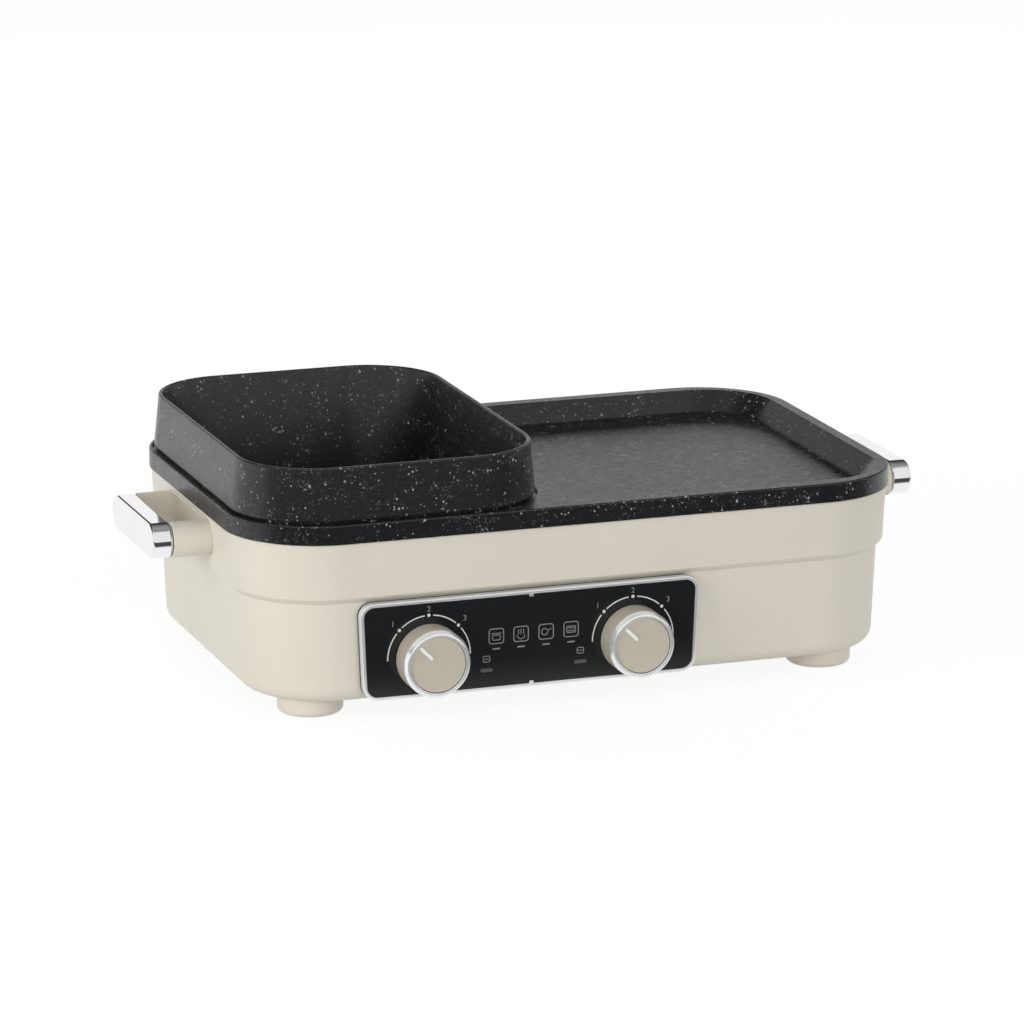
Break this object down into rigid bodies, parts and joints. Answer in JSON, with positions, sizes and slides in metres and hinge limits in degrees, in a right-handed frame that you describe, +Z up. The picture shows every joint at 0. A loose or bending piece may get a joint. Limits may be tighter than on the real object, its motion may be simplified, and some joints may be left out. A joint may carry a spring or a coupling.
{
  "type": "electric hot pot and griddle",
  "caption": "Countertop cooker: rounded two-tier housing with a lift-out griddle plate, a lift-out deep pot beside it, side bar handles and a front panel with rotary knobs.",
  "frame": {"origin": "bottom centre of the whole part, on the surface that the feet stand on", "axes": "+X to the right seen from the front, along the length; +Y to the rear; +Z up"},
  "size_m": [0.5556, 0.3294, 0.177],
  "materials": {
    "cream": "satin",
    "black_coating": "speckled non-stick coating",
    "chrome": "polished",
    "champagne": "satin metallic",
    "gloss_black": "gloss",
    "black_plastic": "satin",
    "white_plastic": "satin",
    "phenolic": "matt",
    "steel_sheet": "brushed",
    "zinc_steel": "zinc plated",
    "element_sheath": "heat-darkened",
    "brass": "plain",
    "rubber": "matt",
    "lamp_lens": "dark, unlit",
    "pointer_ink": "satin",
    "insulation": "satin"
  },
  "bodies": {
    "housing": {"lower_housing": "cream", "upper_housing": "cream", "foot_front_left": "cream", "foot_front_right": "cream", "foot_rear_left": "cream", "foot_rear_right": "cream", "handle_bracket_left": "cream", "handle_bracket_right": "cream", "foot_pad_front_left": "rubber", "foot_pad_front_right": "rubber", "foot_pad_rear_left": "rubber", "foot_pad_rear_right": "rubber", "bottom_cover": "steel_sheet", "pot_well": "steel_sheet", "griddle_well": "steel_sheet", "pot_support_front": "steel_sheet", "pot_support_rear": "steel_sheet", "griddle_support_front": "steel_sheet", "griddle_support_rear": "steel_sheet", "cover_screw_1": "zinc_steel", "cover_screw_2": "zinc_steel", "cover_screw_3": "zinc_steel", "cover_screw_4": "zinc_steel", "handle_screw_left_front": "zinc_steel", "handle_screw_left_rear": "zinc_steel", "handle_screw_right_front": "zinc_steel", "handle_screw_right_rear": "zinc_steel", "handle_bar_left": "chrome", "handle_bar_right": "chrome", "panel_bezel": "chrome", "panel_face": "gloss_black", "panel_frame": "black_plastic", "power_inlet": "black_plastic", "indicator_lens_left": "lamp_lens", "indicator_lens_right": "lamp_lens", "thermostat_left": "phenolic", "thermostat_right": "phenolic", "pot_element": "element_sheath", "griddle_element": "element_sheath", "inlet_pin_line": "brass", "inlet_pin_earth": "brass", "inlet_pin_neutral": "brass", "terminal_block": "white_plastic", "inlet_wire_line": "insulation", "inlet_wire_neutral": "insulation", "feed_wire_left": "insulation", "feed_wire_right": "insulation", "element_wire_pot": "insulation", "element_wire_griddle": "insulation"},
    "griddle_plate": {"rim_plate": "black_coating"},
    "pot": {"hot_pot": "black_coating"},
    "left_knob": {"knob_left": "champagne", "knob_ring_left": "chrome", "knob_pointer_left": "pointer_ink", "control_shaft_left": "zinc_steel"},
    "right_knob": {"knob_right": "champagne", "knob_ring_right": "chrome", "knob_pointer_right": "pointer_ink", "control_shaft_right": "zinc_steel"}
  },
  "joints": [
    {"name": "plate_lift", "type": "slide", "parent": "housing", "child": "griddle_plate", "axis": [0, 0, 1], "range_m": [0, 0.06]},
    {"name": "pot_lift", "type": "slide", "parent": "griddle_plate", "child": "pot", "axis": [0, 0, 1], "range_m": [0, 0.08]},
    {"name": "left_knob_turn", "type": "hinge", "parent": "housing", "child": "left_knob", "pos_m": [-0.1159, -0.1438, 0.0435], "axis": [0, 1, 0], "range_deg": [-45, 135]},
    {"name": "right_knob_turn", "type": "hinge", "parent": "housing", "child": "right_knob", "pos_m": [0.0297, -0.1438, 0.0435], "axis": [0, 1, 0], "range_deg": [-45, 135]}
  ]
}
